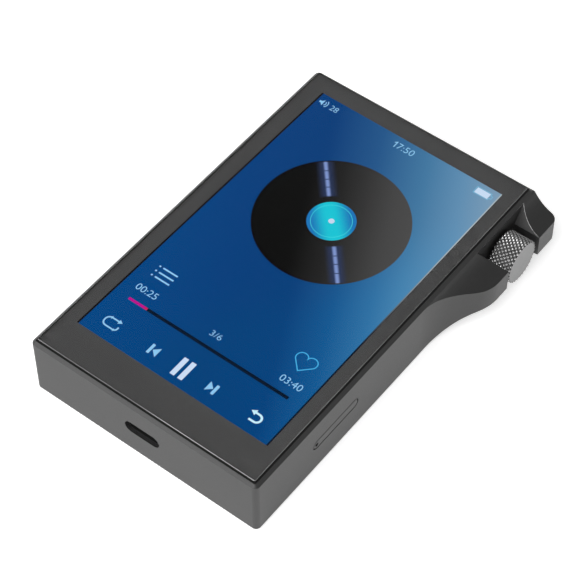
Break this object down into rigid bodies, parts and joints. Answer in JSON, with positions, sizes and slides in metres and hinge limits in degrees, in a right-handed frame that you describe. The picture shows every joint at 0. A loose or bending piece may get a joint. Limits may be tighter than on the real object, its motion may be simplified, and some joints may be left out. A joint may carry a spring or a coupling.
{
  "type": "digital audio player",
  "caption": "Pocket digital audio player: metal slab body, full-face touch screen, knurled volume wheel between two curved shoulders, card tray, charge port and headphone jack.",
  "frame": {"origin": "middle of the flat back face", "axes": "+X towards the volume wheel's side, +Y towards the end with the headphone jack, +Z out through the screen"},
  "size_m": [0.0698, 0.1032, 0.0172],
  "materials": {
    "anodised_aluminium": "fine bead-blasted, dark grey anodised",
    "rear_aluminium": "satin black anodised",
    "cover_glass": "polished glass with a dark printed border",
    "black_adhesive": "matt black",
    "display": "lit screen under the glass",
    "stainless_steel": "stamped sheet",
    "black_screws": "black oxide",
    "steel_screws": "plain steel",
    "backlight_film": "white diffuser film",
    "ribbon": "amber polyimide",
    "circuit_board": "green solder mask",
    "chip_black": "moulded epoxy",
    "module_can": "tinned cans",
    "connector_plastic": "moulded plastic",
    "battery_wrap": "silver pouch foil",
    "brass": "turned brass",
    "knurled_steel": "diamond knurl, bright",
    "turned_steel": "turned and ground",
    "tray_aluminium": "fine bead-blasted, dark grey anodised",
    "key_aluminium": "fine bead-blasted, dark grey anodised"
  },
  "bodies": {
    "housing": {"main_housing": "anodised_aluminium", "rear_cover": "rear_aluminium", "rear_cover_screws": "black_screws", "board_screws": "steel_screws", "cover_glass": "cover_glass", "glass_gasket": "black_adhesive", "lcd_panel": "display", "backlight_tray": "stainless_steel", "backlight_unit": "backlight_film", "display_flex": "ribbon", "battery_flex": "ribbon", "encoder_flex": "ribbon", "main_board": "circuit_board", "processor_chip": "chip_black", "memory_chip": "chip_black", "flash_chip": "chip_black", "power_chip": "chip_black", "wireless_module": "module_can", "display_connector": "connector_plastic", "battery_connector": "connector_plastic", "dac_chips": "chip_black", "amplifier_chips": "chip_black", "clock_oscillators": "module_can", "audio_capacitors": "module_can", "processor_shield": "stainless_steel", "battery_cell": "battery_wrap", "battery_tape": "black_adhesive", "battery_protection_board": "circuit_board", "usb_shell": "stainless_steel", "usb_tongue": "connector_plastic", "jack_body": "connector_plastic", "jack_ring": "brass", "jack_contacts": "stainless_steel", "encoder_case": "connector_plastic", "press_dome": "stainless_steel", "encoder_bracket": "stainless_steel", "encoder_bushing": "brass", "card_socket": "connector_plastic", "card_socket_cover": "stainless_steel", "key_switches": "chip_black", "key_board": "circuit_board", "key_bracket": "stainless_steel"},
    "press_stem": {"press_plate": "connector_plastic"},
    "knob": {"encoder_shaft": "turned_steel", "volume_knob": "knurled_steel", "knob_set_screw": "steel_screws"},
    "card_tray": {"card_tray": "tray_aluminium"},
    "eject_rod": {"eject_rod": "turned_steel"},
    "eject_lever": {"eject_lever": "turned_steel"},
    "previous_key": {"previous_key": "key_aluminium"},
    "play_pause_key": {"play_pause_key": "key_aluminium"},
    "next_key": {"next_key": "key_aluminium"}
  },
  "joints": [
    {"name": "knob_press", "type": "slide", "parent": "housing", "child": "press_stem", "axis": [-1, 0, 0], "range_m": [0, 0.0003], "stiffness_N_per_m": 2500, "springref_m": -0.0006},
    {"name": "knob_turn", "type": "hinge", "parent": "press_stem", "child": "knob", "pos_m": [0.0312, 0.03765, 0.0083], "axis": [1, 0, 0], "continuous": true},
    {"name": "card_tray_slide", "type": "slide", "parent": "housing", "child": "card_tray", "axis": [1, 0, 0], "range_m": [0, 0.018]},
    {"name": "eject_rod_push", "type": "slide", "parent": "housing", "child": "eject_rod", "axis": [-1, 0, 0], "range_m": [0, 0.0015]},
    {"name": "eject_lever_turn", "type": "hinge", "parent": "housing", "child": "eject_lever", "pos_m": [0.0115, -0.0248, 0.0087], "axis": [0, 0, -1], "range_deg": [0, 14.4]},
    {"name": "previous_key_press", "type": "slide", "parent": "housing", "child": "previous_key", "axis": [1, 0, 0], "range_m": [0, 0.0003], "stiffness_N_per_m": 1500, "springref_m": -0.0006},
    {"name": "play_pause_key_press", "type": "slide", "parent": "housing", "child": "play_pause_key", "axis": [1, 0, 0], "range_m": [0, 0.0003], "stiffness_N_per_m": 1500, "springref_m": -0.0006},
    {"name": "next_key_press", "type": "slide", "parent": "housing", "child": "next_key", "axis": [1, 0, 0], "range_m": [0, 0.0003], "stiffness_N_per_m": 1500, "springref_m": -0.0006}
  ],
  "couplings": [
    {"joint": "eject_lever_turn", "follows": "eject_rod_push", "rad_per_m": 161.29}
  ]
}
